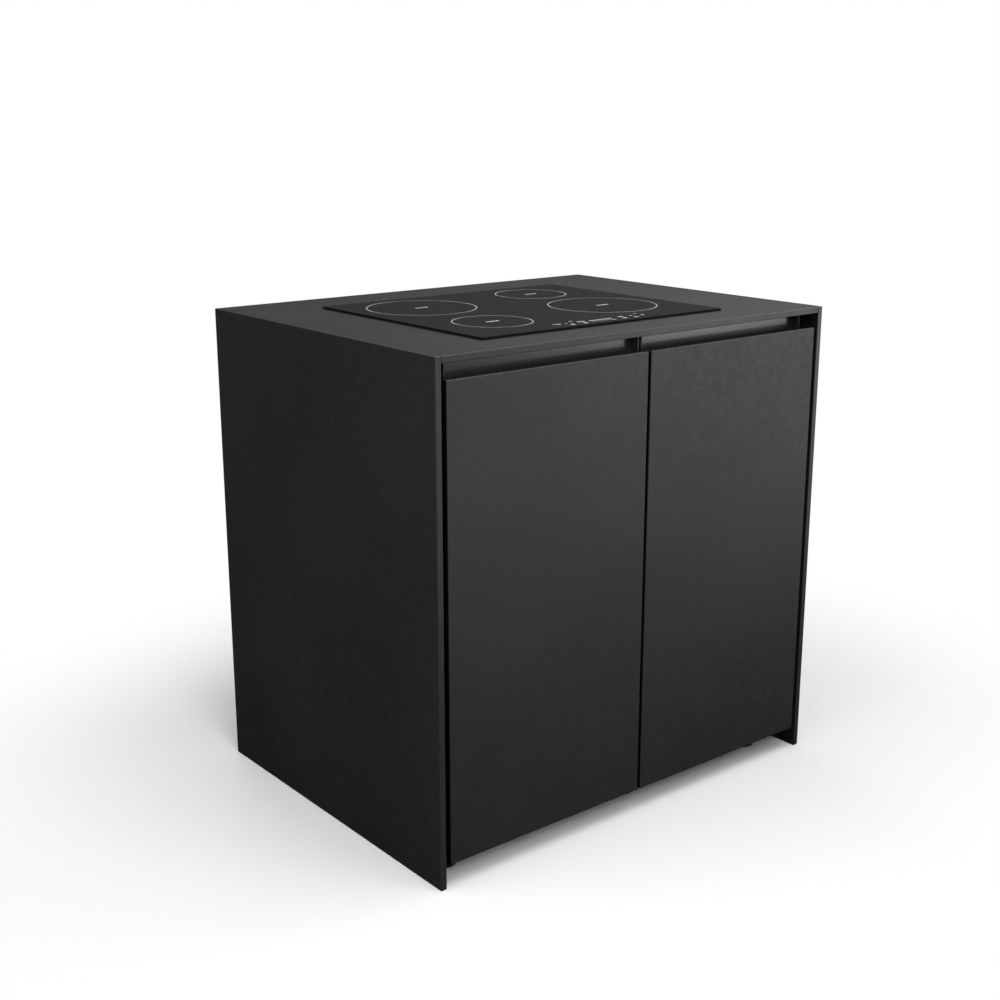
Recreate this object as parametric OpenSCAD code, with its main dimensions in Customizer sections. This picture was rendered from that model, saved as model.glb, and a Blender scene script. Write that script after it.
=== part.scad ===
// Low free-standing kitchen unit with two doors and a built-in induction hob.
// The origin is on the floor, under the middle of the unit. +X is to the right, the doors face -Y.
// Lengths are in millimetres. Depths count from the plane of the doors' faces towards the wall.

/* [Unit] */
// Width over both side panels
unit_w = 920; // [880:5:1000]
// Depth from the doors' faces to the back edges of the side panels
unit_d = 700; // [680:5:760]
// Height of the worktop above the floor
unit_h = 910; // [880:5:960]
// Thickness of the side panels
side_t = 12; // [10:0.5:16]
// Thickness of the worktop
top_t = 12; // [10:0.5:16]
// Bevel on the edges of panels, worktop and doors
edge_bevel = 1; // [0.3:0.1:1.5]

/* [Carcass boards] */
// Thickness of the bottom board, the divider and the shelves
board_t = 12; // [10:0.5:16]
// Height of the bottom board's underside above the floor
bottom_gap = 45; // [40:1:60]
// Thickness of the back panel
back_t = 8; // [6:0.5:12]
// Distance from the back panel to the back edges of the side panels
back_inset = 8; // [4:1:20]
// Thickness of the guard panel under the hob
guard_t = 8; // [6:0.5:12]
// Distance from the guard panel's top to the worktop's underside
guard_drop = 64; // [62:1:80]
// Gap between the backs of the doors and the fixed boards behind them
board_gap = 4; // [3.5:0.5:8]
// Height of the pins that carry the shelves
shelf_pin_z = 448; // [352:32:544]
// Depth at which the shelves start
shelf_front = 60; // [50:5:100]
// Side clearance of a shelf
shelf_play = 1; // [0.5:0.1:2]

/* [Doors] */
// Thickness of the doors
door_t = 10; // [9:0.5:11]
// Gap between a door and the side panel
door_side_gap = 9; // [8:0.5:14]
// Gap between the two doors
door_middle_gap = 6; // [5:0.5:10]
// How far the doors reach below the underside of the bottom board
door_lap = 2; // [0:0.5:6]
// Height of the finger gap between doors and worktop
finger_gap = 27; // [24:1:34]

/* [Grip profiles] */
// Thickness of the grip profile's metal
grip_wall = 2; // [1.5:0.25:3]
// Radius of the hollow that the fingers reach into
grip_r = 20; // [17:0.5:22]
// Height of the flange that is screwed to the door
grip_foot_h = 15; // [13:0.5:18]
// How far the flange's top stays below the door's top edge
grip_foot_drop = 3; // [1:0.5:6]
// Length of the straight floor in front of the hollow's bend
grip_floor = 10; // [6:1:12]
// Gap between the grip profile and the worktop
grip_top_gap = 3; // [2:0.5:6]
// Distance from the door's hinge edge to the grip profile
grip_inset = 14; // [14:1:24]
// Thickness of the grip profile's end caps
grip_cap_t = 2.5; // [1.5:0.5:4]
// Number of screws in each grip profile
grip_screws = 5; // [3:1:7]

/* [Hinges] */
// Distance from the door's hinge edge to the hinge pin
hinge_in = 13; // [12:0.5:14]
// Distance from the door's back face to the hinge pin
hinge_off = 5; // [5:0.25:6]
// Radius of the hinge pin
hinge_pin_r = 1.5; // [1.2:0.1:1.8]
// Radius of the eyes round the hinge pin
hinge_eye_r = 3.2; // [2.9:0.1:3.4]
// Running clearance round the hinge pin
hinge_play = 0.05; // [0.02:0.01:0.1]
// Height of the hinge arm
arm_h = 14; // [10:1:20]
// Width of the hinge arm, seen from above
arm_w = 5; // [4:0.5:6]
// Distance from the doors' lower and upper edges to the hinges
hinge_edge = 95; // [85:5:140]
// Diameter of the boss that sits in the door
cup_d = 26; // [22:1:30]
// Depth of the boss in the door
cup_depth = 6; // [4:0.5:7]

/* [Feet] */
// Distance from the left panel's outer face to the centre of a left foot
foot_left = 61; // [50:1:120]
// Distance from the right panel's outer face to the centre of a right foot
foot_right = 84; // [50:1:120]
// Distance from the doors' faces to the centre of a front foot
foot_front = 77; // [60:1:120]
// Distance from the back edges to the centre of a back foot
foot_back = 77; // [60:1:120]
// Diameter of a foot's base
foot_d = 45; // [40:1:64]
// Thickness of a foot's base
foot_t = 8; // [6:0.5:12]
// Diameter of a foot's stud
stud_d = 10; // [8:1:12]
// Length of stud held in the cabinet when the unit stands level
stud_hold = 5; // [4:0.5:8]

/* [Hob] */
// Width of the hob's glass
glass_w = 570; // [540:5:590]
// Depth of the hob's glass
glass_d = 488; // [470:2:500]
// Thickness of the hob's glass
glass_t = 4; // [3:0.5:6]
// Thickness of the seal under the glass
seal_t = 0.6; // [0.4:0.1:1.2]
// Distance from the left panel's outer face to the glass
glass_x = 154.5; // [140:0.5:175]
// Distance from the doors' faces to the glass
glass_y = 80; // [70:1:100]
// Radius of the glass corners
glass_r = 3; // [1:0.5:8]
// Width of the glass rim that rests on the worktop
rim_w = 10; // [8:0.5:14]
// Clearance between the worktop's cut-out and the hob's case
cutout_play = 2; // [1:0.5:3]
// Depth of the hob's case below the worktop's surface
case_depth = 52; // [48:1:58]
// Thickness of the case's metal
case_wall = 1.5; // [1:0.25:2]
// Diameter of the two large coils
coil_large_d = 180; // [160:5:190]
// Diameter of the two small coils
coil_small_d = 125; // [110:5:140]
// Height of the coils
coil_h = 8; // [6:1:10]
// Diameter of the cooling fan
fan_d = 80; // [70:5:90]

/* [Hidden] */
$fn = 48;
eps = 0.01;

// Heights of the main levels
top_under = unit_h - top_t;
door_top = top_under - finger_gap;
door_bottom = bottom_gap - door_lap;
door_h = door_top - door_bottom;
bottom_top = bottom_gap + board_t;
guard_top = top_under - guard_drop;
guard_under = guard_top - guard_t;

// Widths and depths inside the cabinet
board_front = door_t + board_gap;
inner_w = unit_w - 2 * side_t;
back_front = unit_d - back_inset - back_t;
door_w = unit_w / 2 - side_t - door_side_gap - door_middle_gap / 2;
door_x0 = side_t + door_side_gap;
door_x1 = door_x0 + door_w;
divider_x0 = unit_w / 2 - board_t / 2;
board_d = back_front - board_front;

// Grip profile, as a section in depth and height
grip_web = door_t + grip_wall + grip_floor + grip_r;
grip_foot_top = door_top - grip_foot_drop;
grip_foot_z = grip_foot_top - grip_foot_h;
grip_top = top_under - grip_top_gap;
grip_skirt = 5;
grip_bend_z = grip_foot_z + grip_skirt + grip_wall + grip_r;
grip_bead = 2;
grip_cap_front = grip_web - grip_r + 4;
grip_cap_foot = grip_foot_h - 2;
grip_x0 = door_x0 + grip_inset;
grip_screw_z = grip_foot_z + grip_foot_h - 3.5;
grip_screw_end = 20;

// Hinges
hinge_x = door_x0 + hinge_in;
hinge_y = door_t + hinge_off;
hinge_zs = [door_bottom + hinge_edge, door_top - hinge_edge];
swing_r = norm([hinge_in, hinge_off + door_t]) + 1.5;
swing_side = 3;
cup_reach = 12;
cup_x = hinge_x + cup_reach;
cup_screw_z = 19;
cup_flange_t = 1.5;
cup_flange_w = 38;
cup_flange_h = 48;
ear_t = 3;
ear_gap = 0.3;
plate_t = 3;
plate_h = 46;
plate_y0 = 48;
plate_y1 = 100;
arm_base_t = 6;
arm_reach = 17;
arm_elbow = [hinge_x + arm_reach, hinge_y + arm_reach];
arm_neck = [side_t + plate_t + arm_w / 2 + 1.5, plate_y0 + 10];
pin_press = 0.02;
pin_end = 0.4;
pin_head_r = hinge_pin_r + 0.8;
pin_head_t = 1;

// Screws
screw_r = 2;
screw_head_r = 3.8;
screw_head_t = 2;
screw_play = 0.05;
plate_screw_y = plate_y0 + 8;
plate_screw_z = 16;
door_screw_depth = 7;
side_screw_depth = 9;

// Shelf pins and their rows of holes
pin_hole_r = 2.5;
pin_hole_depth = 5.3;
pin_spigot = 5;
pin_nose_r = 3.5;
pin_nose = 8;
pin_row_pitch = 32;
pin_rows = 7;
pin_row_z0 = shelf_pin_z - 3 * pin_row_pitch;
pin_ys = [shelf_front + 50, back_front - 80];
shelf_z = shelf_pin_z + pin_nose_r;
shelf_w = divider_x0 - side_t - 2 * shelf_play;
shelf_d = back_front - 10 - shelf_front;

// Rails, brackets and cleats
rail = 20;
rail_wall = 2;
rail_front_y = 52;
rail_back_gap = 30;
bracket = 30;
bracket_t = 3;
bracket_l = 40;
bracket_screw_z = bracket / 2 + 3;
bracket_ys = [140, unit_d - 140];
cleat = 12;
cleat_t = 2;
cleat_y0 = board_front + 46;
cleat_l = board_d - 66;

// Feet
foot_xs = [foot_left - unit_w / 2, unit_w / 2 - foot_right];
foot_ys = [foot_front - unit_d / 2, unit_d / 2 - foot_back];
bush_r = stud_d / 2 + 3;
bush_h = board_t - 2;
socket_flange_r = 20;
socket_flange_t = 3;
foot_nut_h = 8;
stud_top = bottom_gap + stud_hold - socket_flange_t;

// Door catches and buffers
strike_w = 36;
strike_h = 14;
strike_t = 1.5;
catch_gap = 0.3;
catch_w = 46;
catch_d = 18;
catch_h = 14;
catch_end = 8;
catch_x0 = divider_x0 - catch_end - catch_w;
buffer_r = 4;
buffer_gap = 0.3;
buffer_inset = 17;

// Hob
seal_top = unit_h + seal_t;
glass_step = 0.5;
glass_cx = glass_x + glass_w / 2 - unit_w / 2;
glass_cy = glass_y + glass_d / 2 - unit_d / 2;
case_w = glass_w - 2 * rim_w - 2 * cutout_play;
case_d = glass_d - 2 * rim_w - 2 * cutout_play;
case_r = 6;
case_z = unit_h - case_depth;
cutout_w = case_w + 2 * cutout_play;
cutout_d = case_d + 2 * cutout_play;
seal_w = 6;
coil_top = seal_top - 1;
coil_z = coil_top - coil_h;
plate_z = coil_z - 2;
// Centres of the four cooking zones, from the middle of the glass
rear_left = [-150, 111];
front_left = [-158, -112];
rear_right = [142, 141];
front_right = [143, -70];
fan_x = glass_cx - 15;
fan_y = glass_cy + 120;
fan_h = 20;
hub_r = 15;
fan_axle_r = 2;
fan_play = 0.05;
blade_gap = 1.2;
board_thick = 1.6;
standoff = 6;
standoff_r = 3;
board_z = case_z + case_wall + standoff;
board_margin = 8;
power_w = 170;
power_l = 260;
power_x = 20;
power_y = 76;
capacitor_r = 7;
capacitor_h = 18;
capacitor_pitch = 18;
capacitor_inset = 20;
relay_w = 16;
relay_l = 24;
relay_h = 14;
relay_x = 96;
relay_inset = 32;
fins = 12;
fin_pitch = 7;
fin_t = 2;
fin_h = 16;
sink_l = 120;
sink_base = 4;
sink_x = 60;
sink_y = 90;
touch_w = 250;
touch_d = 36;
touch_x = -60;
touch_y = 12;
touch_gap = 5;
touch_keys = 9;
touch_key_r = 4;
touch_key_inset = 17;
touch_z = seal_top - touch_gap;
gland_r = 7;
gland_bore_r = 5;
gland_in = 6;
gland_nut = 5;
gland_dome = 7;
gland_hex = 18;
gland_x = glass_cx + case_w / 2 - 70;
gland_play = 0.05;
box_w = 90;
box_d = 34;
box_h = 18;
box_wall = 2;
box_play = 1;
box_z = top_under - rail - box_play - box_h;
gland_z = box_z + box_h / 2;
passage_w = 24;
passage_h = 8;
outlet_w = 180;
outlet_z = guard_top + 6;
clamp_y = 150;
clamp_w = 20;
clamp_t = 2;
clamp_reach = 16;
clamp_drop = 14;
clamp_screw_z = 9;

// Places a child in cabinet coordinates: X from the left outer face, Y from the doors' faces
module from_front_left() {
    translate([-unit_w / 2, -unit_d / 2, 0])
        children();
}

// Mirrors a left-hand piece to the right-hand side
module on_right() {
    mirror([1, 0, 0])
        children();
}

module on_both_sides() {
    children();
    on_right() children();
}

// Outline of a rectangle with cut corners
module cut_rect(w, d, c) {
    polygon([[c, 0], [w - c, 0], [w, c], [w, d - c], [w - c, d], [c, d], [0, d - c], [0, c]]);
}

// Board with every edge bevelled
module board(size, c = edge_bevel) {
    intersection() {
        linear_extrude(size[2])
            cut_rect(size[0], size[1], c);
        translate([0, size[1], 0])
            rotate([90, 0, 0])
                linear_extrude(size[1])
                    cut_rect(size[0], size[2], c);
        rotate([90, 0, 90])
            linear_extrude(size[0])
                cut_rect(size[1], size[2], c);
    }
}

// Rectangle with round corners, centred
module round_rect(w, d, r) {
    square([w - 2 * r, d], center = true);
    square([w, d - 2 * r], center = true);
    for (x = [-1, 1], y = [-1, 1])
        translate([x * (w / 2 - r), y * (d / 2 - r)])
            circle(r = r);
}

// Bar with round ends between two points, in plan
module bar(p, q, w) {
    v = q - p;
    translate(p)
        rotate(atan2(v[1], v[0]))
            translate([0, -w / 2])
                square([norm(v), w]);
    translate(p) circle(d = w);
    translate(q) circle(d = w);
}

// Screw with a pan head; the head sits on the origin and the shank points down -Z
module screw(len, r = screw_r, head_r = screw_head_r, head_t = screw_head_t) {
    translate([0, 0, -len])
        cylinder(r = r, h = len + eps);
    difference() {
        cylinder(r1 = head_r, r2 = head_r - 0.8, h = head_t);
        for (a = [0, 90])
            rotate(a)
                translate([-1.8, -0.4, head_t - 0.9])
                    cube([3.6, 0.8, 1]);
    }
}

// Turns a child that points along +Z so that it points along +X, +Y or -Y
module along_x() { rotate([0, 90, 0]) children(); }
module along_y() { rotate([-90, 0, 0]) children(); }
module against_y() { rotate([90, 0, 0]) children(); }

// Holes for the shelf pins, bored along +X from the face at x = 0
module pin_holes() {
    for (y = pin_ys, i = [0 : pin_rows - 1])
        translate([0, y, pin_row_z0 + i * pin_row_pitch])
            along_x()
                translate([0, 0, -eps])
                    cylinder(r = pin_hole_r + screw_play, h = pin_hole_depth + eps);
}

// Places the screws of the hinge plates, heads towards +X
module at_plate_screws() {
    for (z = hinge_zs, dz = [-plate_screw_z, plate_screw_z])
        translate([side_t + plate_t, plate_screw_y, z + dz])
            along_x() children();
}

// Places the screws of the corner brackets that go into the side panels
module at_side_bracket_screws() {
    for (y = bracket_ys, z = [top_under - bracket_screw_z, bottom_gap - bracket_screw_z])
        translate([side_t + bracket_t, y, z])
            along_x() children();
}

// Side panel, full height to the floor
module side_panel() {
    from_front_left()
        difference() {
            board([side_t, unit_d, unit_h]);
            translate([side_t, 0, 0])
                mirror([1, 0, 0])
                    pin_holes();
            at_plate_screws()
                translate([0, 0, -plate_t - side_screw_depth])
                    cylinder(r = screw_r + screw_play, h = side_screw_depth + plate_t);
            at_side_bracket_screws()
                translate([0, 0, -bracket_t - side_screw_depth])
                    cylinder(r = screw_r + screw_play, h = side_screw_depth + bracket_t);
        }
}

module side_panel_left() { color("#3a3d41") side_panel(); }
module side_panel_right() { color("#3a3d41") on_right() side_panel(); }

// Worktop between the side panels, with the hob's cut-out
module worktop() {
    color("#55585c")
        difference() {
            translate([-inner_w / 2, -unit_d / 2, top_under])
                board([inner_w, unit_d, top_t]);
            translate([glass_cx, glass_cy, top_under - 1])
                linear_extrude(top_t + 2)
                    round_rect(cutout_w, cutout_d, case_r + cutout_play);
        }
}

// Notch in a board's front corners, where the doors' hinge edges swing in
module swing_notches(z, h) {
    on_both_sides()
        from_front_left()
            translate([side_t - 1, board_front - 1, z - 1])
                cube([hinge_x + swing_side - side_t + 1, hinge_y + swing_r - board_front + 1, h + 2]);
}

// Bottom board with the bores for the foot sockets
module bottom_board() {
    color("#2c2e31")
        difference() {
            translate([-inner_w / 2, board_front - unit_d / 2, bottom_gap])
                board([inner_w, board_d, board_t]);
            swing_notches(bottom_gap, board_t);
            at_feet()
                translate([0, 0, bottom_gap - 1])
                    cylinder(r = bush_r, h = bush_h + 1);
        }
}

// Back panel with the cable outlet at its top right
module back_panel() {
    color("#2c2e31")
        difference() {
            translate([-inner_w / 2, back_front - unit_d / 2, bottom_gap])
                cube([inner_w, back_t, top_under - bottom_gap]);
            translate([gland_x - outlet_w / 2, back_front - unit_d / 2 - 1, outlet_z])
                cube([outlet_w, back_t + 2, top_under - outlet_z + 1]);
        }
}

// Divider in the middle, from the bottom board up to the guard panel
module centre_divider() {
    color("#2c2e31")
        from_front_left()
            translate([divider_x0, 0, 0])
                difference() {
                    translate([0, board_front, bottom_top])
                        board([board_t, board_d, guard_under - bottom_top]);
                    pin_holes();
                    translate([board_t, 0, 0])
                        mirror([1, 0, 0])
                            pin_holes();
                }
}

// Panel that closes the compartments off from the hob above them
module guard_panel() {
    color("#2c2e31")
        difference() {
            translate([-inner_w / 2, board_front - unit_d / 2, guard_under])
                cube([inner_w, board_d, guard_t]);
            swing_notches(guard_under, guard_t);
        }
}

// Angle along each side panel that carries the guard panel
module guard_cleats() {
    color("silver")
        on_both_sides()
            from_front_left()
                translate([side_t, cleat_y0, guard_under])
                    mirror([0, 0, 1]) {
                        cube([cleat, cleat_l, cleat_t]);
                        cube([cleat_t, cleat_l, cleat]);
                    }
}

module shelf() {
    from_front_left()
        translate([side_t + shelf_play, shelf_front, shelf_z])
            board([shelf_w, shelf_d, board_t]);
}

module shelf_left() { color("#3a3d41") shelf(); }
module shelf_right() { color("#3a3d41") on_right() shelf(); }

// Pin with a thin spigot in the board and a thick nose under the shelf, pointing along +X
module shelf_pin() {
    along_x() {
        translate([0, 0, -pin_spigot])
            cylinder(r = pin_hole_r, h = pin_spigot + eps);
        difference() {
            cylinder(r = pin_nose_r, h = pin_nose);
            translate([0, 0, pin_nose - 0.5])
                cylinder(r = pin_nose_r - 1, h = 1);
        }
    }
}

// Eight pins: two at each end of each shelf
module shelf_pins() {
    color("silver")
        on_both_sides()
            from_front_left()
                for (y = pin_ys) {
                    translate([side_t, y, shelf_pin_z])
                        shelf_pin();
                    translate([divider_x0, y, shelf_pin_z])
                        mirror([1, 0, 0])
                            shelf_pin();
                }
}

module rail_tube() {
    along_x()
        linear_extrude(inner_w)
            difference() {
                translate([-rail, 0]) square(rail);
                translate([rail_wall - rail, rail_wall]) square(rail - 2 * rail_wall);
            }
}

// Square tubes that carry the worktop in front of and behind the hob
module worktop_rails() {
    color("silver")
        from_front_left()
            for (y = [rail_front_y, back_front - rail_back_gap - rail])
                translate([side_t, y, top_under - rail])
                    rail_tube();
}

// Angle bracket with its corner at the origin, one leg along +X and one along -Z
module angle_bracket() {
    difference() {
        translate([0, -bracket_l / 2, 0])
            union() {
                translate([0, 0, -bracket_t]) cube([bracket, bracket_l, bracket_t]);
                translate([0, 0, -bracket]) cube([bracket_t, bracket_l, bracket]);
            }
        translate([bracket_t, 0, -bracket_screw_z])
            along_x()
                translate([0, 0, -bracket_t - 1])
                    cylinder(r = screw_r + screw_play, h = bracket_t + 2);
    }
}

// Brackets that join the side panels to the worktop and to the bottom board
module corner_brackets() {
    color("silver")
        on_both_sides()
            from_front_left()
                for (y = bracket_ys, z = [top_under, bottom_gap])
                    translate([side_t, y, z])
                        angle_bracket();
}

module bracket_screws() {
    color("lightgrey")
        on_both_sides()
            from_front_left()
                at_side_bracket_screws()
                    screw(bracket_t + side_screw_depth - 0.5);
}

// Places a child at the four feet
module at_feet() {
    for (x = foot_xs, y = foot_ys)
        translate([x, y, 0])
            children();
}

// Flanged bushes in the bottom board that hold the feet's studs
module foot_sockets() {
    color("#1c1c1d")
        at_feet()
            difference() {
                union() {
                    translate([0, 0, bottom_gap - socket_flange_t])
                        cylinder(r = socket_flange_r, h = socket_flange_t);
                    translate([0, 0, bottom_gap - eps])
                        cylinder(r = bush_r, h = bush_h - 0.5);
                }
                translate([0, 0, bottom_gap - socket_flange_t - 1])
                    cylinder(r = stud_d / 2 + hinge_play, h = bush_h + socket_flange_t + 2);
            }
}

// Levelling foot: a round base, a hexagon for the spanner and a stud
module foot(x, y) {
    color("#161617")
        translate([x, y, 0]) {
            rotate_extrude()
                polygon([
                    [0, 0], [foot_d / 2 - 1, 0], [foot_d / 2, 1], [foot_d / 2, foot_t - 4],
                    [foot_d / 2 - 3, foot_t - 1], [foot_d / 4, foot_t], [0, foot_t]
                ]);
            translate([0, 0, foot_t - eps])
                cylinder(d = stud_d + 7, h = foot_nut_h, $fn = 6);
            translate([0, 0, foot_t])
                cylinder(d = stud_d, h = stud_top - foot_t);
        }
}

module foot_front_left() { foot(foot_xs[0], foot_ys[0]); }
module foot_front_right() { foot(foot_xs[1], foot_ys[0]); }
module foot_back_left() { foot(foot_xs[0], foot_ys[1]); }
module foot_back_right() { foot(foot_xs[1], foot_ys[1]); }

// Mounting plates of the hinges on both side panels
module hinge_plates() {
    color("#2b2c2e")
        on_both_sides()
            from_front_left()
                difference() {
                    for (z = hinge_zs)
                        translate([side_t, (plate_y0 + plate_y1) / 2, z])
                            along_x()
                                linear_extrude(plate_t) {
                                    round_rect(arm_h + 6, plate_y1 - plate_y0, 2);
                                    translate([0, plate_screw_y - (plate_y0 + plate_y1) / 2])
                                        round_rect(plate_h, 14, 6);
                                }
                    at_plate_screws()
                        translate([0, 0, -plate_t - 1])
                            cylinder(r = screw_r + screw_play, h = plate_t + 2);
                }
}

// Cranked arm that carries the hinge pin in front of the plate
module hinge_arm() {
    linear_extrude(arm_h, center = true)
        difference() {
            union() {
                bar(arm_neck, arm_elbow, arm_w);
                bar(arm_elbow, [hinge_x, hinge_y], arm_w);
                bar(arm_neck, [arm_neck[0], plate_y1 - 8], arm_w);
                translate([side_t + plate_t, arm_neck[1]])
                    square([arm_base_t - 1, plate_y1 - 4 - arm_neck[1]]);
                translate([hinge_x, hinge_y]) circle(r = hinge_eye_r);
            }
            translate([hinge_x, hinge_y]) circle(r = hinge_pin_r + pin_press);
        }
}

module hinge_arms() {
    color("#2b2c2e")
        on_both_sides()
            from_front_left()
                for (z = hinge_zs)
                    translate([0, 0, z])
                        hinge_arm();
}

// Pins that stand in the arms; the door's ears turn on them
module hinge_pins() {
    color("lightgrey")
        on_both_sides()
            from_front_left()
                for (z = hinge_zs)
                    translate([hinge_x, hinge_y, z]) {
                        half = arm_h / 2 + ear_gap + ear_t + pin_end;
                        translate([0, 0, -half])
                            cylinder(r = hinge_pin_r, h = 2 * half);
                        for (m = [0, 1])
                            mirror([0, 0, m])
                                translate([0, 0, half - eps])
                                    cylinder(r = pin_head_r, h = pin_head_t);
                    }
}

module hinge_screws() {
    color("lightgrey")
        on_both_sides()
            from_front_left()
                at_plate_screws()
                    screw(plate_t + side_screw_depth - 0.5);
}

// Magnetic catches under the guard panel, at both sides of the divider
module door_catches() {
    color("#1c1c1d")
        on_both_sides()
            from_front_left()
                translate([catch_x0, door_t + strike_t + catch_gap, guard_under - catch_h])
                    difference() {
                        cube([catch_w, catch_d, catch_h]);
                        translate([4, -1, 3]) cube([catch_w - 8, 2, 3]);
                        translate([4, -1, catch_h - 6]) cube([catch_w - 8, 2, 3]);
                    }
}

// Glass top of the hob
module hob_glass() {
    color("#26282b")
        translate([glass_cx, glass_cy, seal_top]) {
            linear_extrude(glass_t - glass_step)
                round_rect(glass_w, glass_d, glass_r);
            // Ground step round the upper edge
            translate([0, 0, glass_t - glass_step])
                linear_extrude(glass_step)
                    round_rect(glass_w - 2 * glass_step, glass_d - 2 * glass_step, glass_r);
        }
}

// Foam seal between the glass and the worktop
module glass_seal() {
    color("#101010")
        translate([glass_cx, glass_cy, unit_h])
            linear_extrude(seal_t)
                difference() {
                    round_rect(glass_w - 2, glass_d - 2, glass_r);
                    round_rect(glass_w - 2 - 2 * seal_w, glass_d - 2 - 2 * seal_w, glass_r);
                }
}

// Sheet-metal case under the glass, open at the top
module hob_case() {
    color("lightgrey")
        translate([glass_cx, glass_cy, 0])
            difference() {
                translate([0, 0, case_z])
                    linear_extrude(seal_top - case_z)
                        round_rect(case_w, case_d, case_r);
                translate([0, 0, case_z + case_wall])
                    linear_extrude(seal_top - case_z)
                        round_rect(case_w - 2 * case_wall, case_d - 2 * case_wall, case_r - case_wall);
                // Air inlet under the fan
                for (i = [-3 : 3])
                    translate([fan_x - glass_cx + i * 9 - 2, fan_y - glass_cy - 28, case_z - 1])
                        cube([4, 56, case_wall + 2]);
                // Air outlet slots in the front of the case
                for (i = [-9 : 9])
                    translate([i * 24 - 8, -case_d / 2 - 1, case_z + 8])
                        cube([16, case_wall + 2, 4]);
                // Passage to the terminal box
                translate([gland_x - glass_cx - passage_w / 2, case_d / 2 - case_wall - 1,
                    gland_z - passage_h / 2])
                    cube([passage_w, case_wall + 2, passage_h]);
            }
}

// Flat induction coil: a grooved ring round an open middle
module coil(at, d) {
    turn = 5;
    r_in = 22;
    turns = floor((d / 2 - r_in) / turn);
    color("#b06a3a")
        translate([glass_cx + at[0], glass_cy + at[1], coil_z])
            rotate_extrude() {
                translate([r_in, 0]) square([turns * turn, coil_h - 2]);
                for (i = [0 : turns - 1])
                    translate([r_in + i * turn + 0.5, 0]) square([turn - 1, coil_h]);
            }
}

module coil_rear_left() { coil(rear_left, coil_large_d); }
module coil_front_left() { coil(front_left, coil_small_d); }
module coil_rear_right() { coil(rear_right, coil_small_d); }
module coil_front_right() { coil(front_right, coil_large_d); }

// Aluminium plate that carries the coils above the electronics
module coil_plate() {
    color("silver")
        translate([glass_cx, glass_cy, plate_z]) {
            difference() {
                translate([-case_w / 2 + 8, -case_d / 2 + 60, 0])
                    cube([case_w - 16, case_d - 64, 2]);
                for (c = [rear_left, front_left, rear_right, front_right])
                    translate([c[0], c[1], -1])
                        cylinder(r = 14, h = 4);
            }
            for (x = [-1, 1], y = [-case_d / 2 + 64, case_d / 2 - 12])
                translate([x * (case_w / 2 - 16), y, case_z + case_wall - plate_z])
                    cylinder(r = 4, h = plate_z - case_z - case_wall + eps);
        }
}

// Power board on its standoffs, left of the fan
module power_board() {
    color("#2e5a3c")
        translate([glass_cx - case_w / 2 + power_x, glass_cy - case_d / 2 + power_y, board_z]) {
            cube([power_w, power_l, board_thick]);
            for (x = [board_margin, power_w - board_margin], y = [board_margin, power_l - board_margin])
                translate([x, y, -standoff])
                    cylinder(r = standoff_r, h = standoff + eps);
            // Capacitors and relays
            translate([capacitor_inset, power_l - capacitor_inset, board_thick - eps])
                for (i = [0 : 3])
                    translate([i * capacitor_pitch, 0, 0])
                        cylinder(r = capacitor_r, h = capacitor_h);
            translate([relay_x, power_l - relay_inset, board_thick - eps])
                for (i = [0 : 2])
                    translate([i * relay_l, 0, 0])
                        cube([relay_w, relay_l, relay_h]);
        }
}

// Finned heat sink on the power board
module heat_sink() {
    color("silver")
        translate([glass_cx - case_w / 2 + sink_x, glass_cy - case_d / 2 + sink_y, board_z + board_thick]) {
            cube([(fins - 1) * fin_pitch + fin_t, sink_l, sink_base]);
            for (i = [0 : fins - 1])
                translate([i * fin_pitch, 0, sink_base - eps])
                    cube([fin_t, sink_l, fin_h]);
        }
}

// Touch control board under the front of the glass
module touch_board() {
    key_pitch = (touch_w - 2 * touch_key_inset) / (touch_keys - 1);
    leg = touch_z - case_z - case_wall;
    color("#2e5a3c")
        translate([glass_cx + touch_x, glass_cy - case_d / 2 + touch_y, touch_z]) {
            cube([touch_w, touch_d, board_thick]);
            // Spring contacts that press against the glass
            for (i = [0 : touch_keys - 1])
                translate([touch_key_inset + i * key_pitch, touch_d / 2, board_thick - eps])
                    cylinder(r = touch_key_r, h = touch_gap - board_thick);
            for (x = [board_margin, touch_w - board_margin])
                translate([x, touch_d / 2, -leg])
                    cylinder(r = standoff_r, h = leg + eps);
        }
}

// Square housing of the cooling fan, with the axle on its spider
module fan_housing() {
    color("#1c1c1d")
        translate([fan_x, fan_y, case_z + case_wall]) {
            difference() {
                translate([-fan_d / 2 - 4, -fan_d / 2 - 4, 0])
                    cube([fan_d + 8, fan_d + 8, fan_h]);
                translate([0, 0, -1])
                    cylinder(d = fan_d, h = fan_h + 2);
            }
            translate([0, 0, fan_h - 2]) {
                cylinder(r = hub_r, h = 2);
                for (a = [45, 135])
                    rotate(a)
                        translate([-fan_d / 2 - 2, -2, 0])
                            cube([fan_d + 4, 4, 2]);
            }
            translate([0, 0, 3])
                cylinder(r = fan_axle_r, h = fan_h - 4);
        }
}

// Fan wheel with its bore, turning on the housing's axle
module fan_rotor() {
    blades = 7;
    blade_w = 16;
    pitch = 32;
    color("#26282b")
        translate([fan_x, fan_y, case_z + case_wall])
            difference() {
                union() {
                    translate([0, 0, 3])
                        cylinder(r = hub_r - 1, h = fan_h - 6);
                    for (i = [0 : blades - 1])
                        rotate(i * 360 / blades)
                            translate([hub_r - 3, 0, fan_h / 2 - 0.5])
                                rotate([pitch, 0, 0])
                                    translate([0, -blade_w / 2, -0.8])
                                        cube([fan_d / 2 - blade_gap - hub_r + 2, blade_w, 1.6]);
                }
                cylinder(r = fan_axle_r + fan_play, h = fan_h);
            }
}

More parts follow.
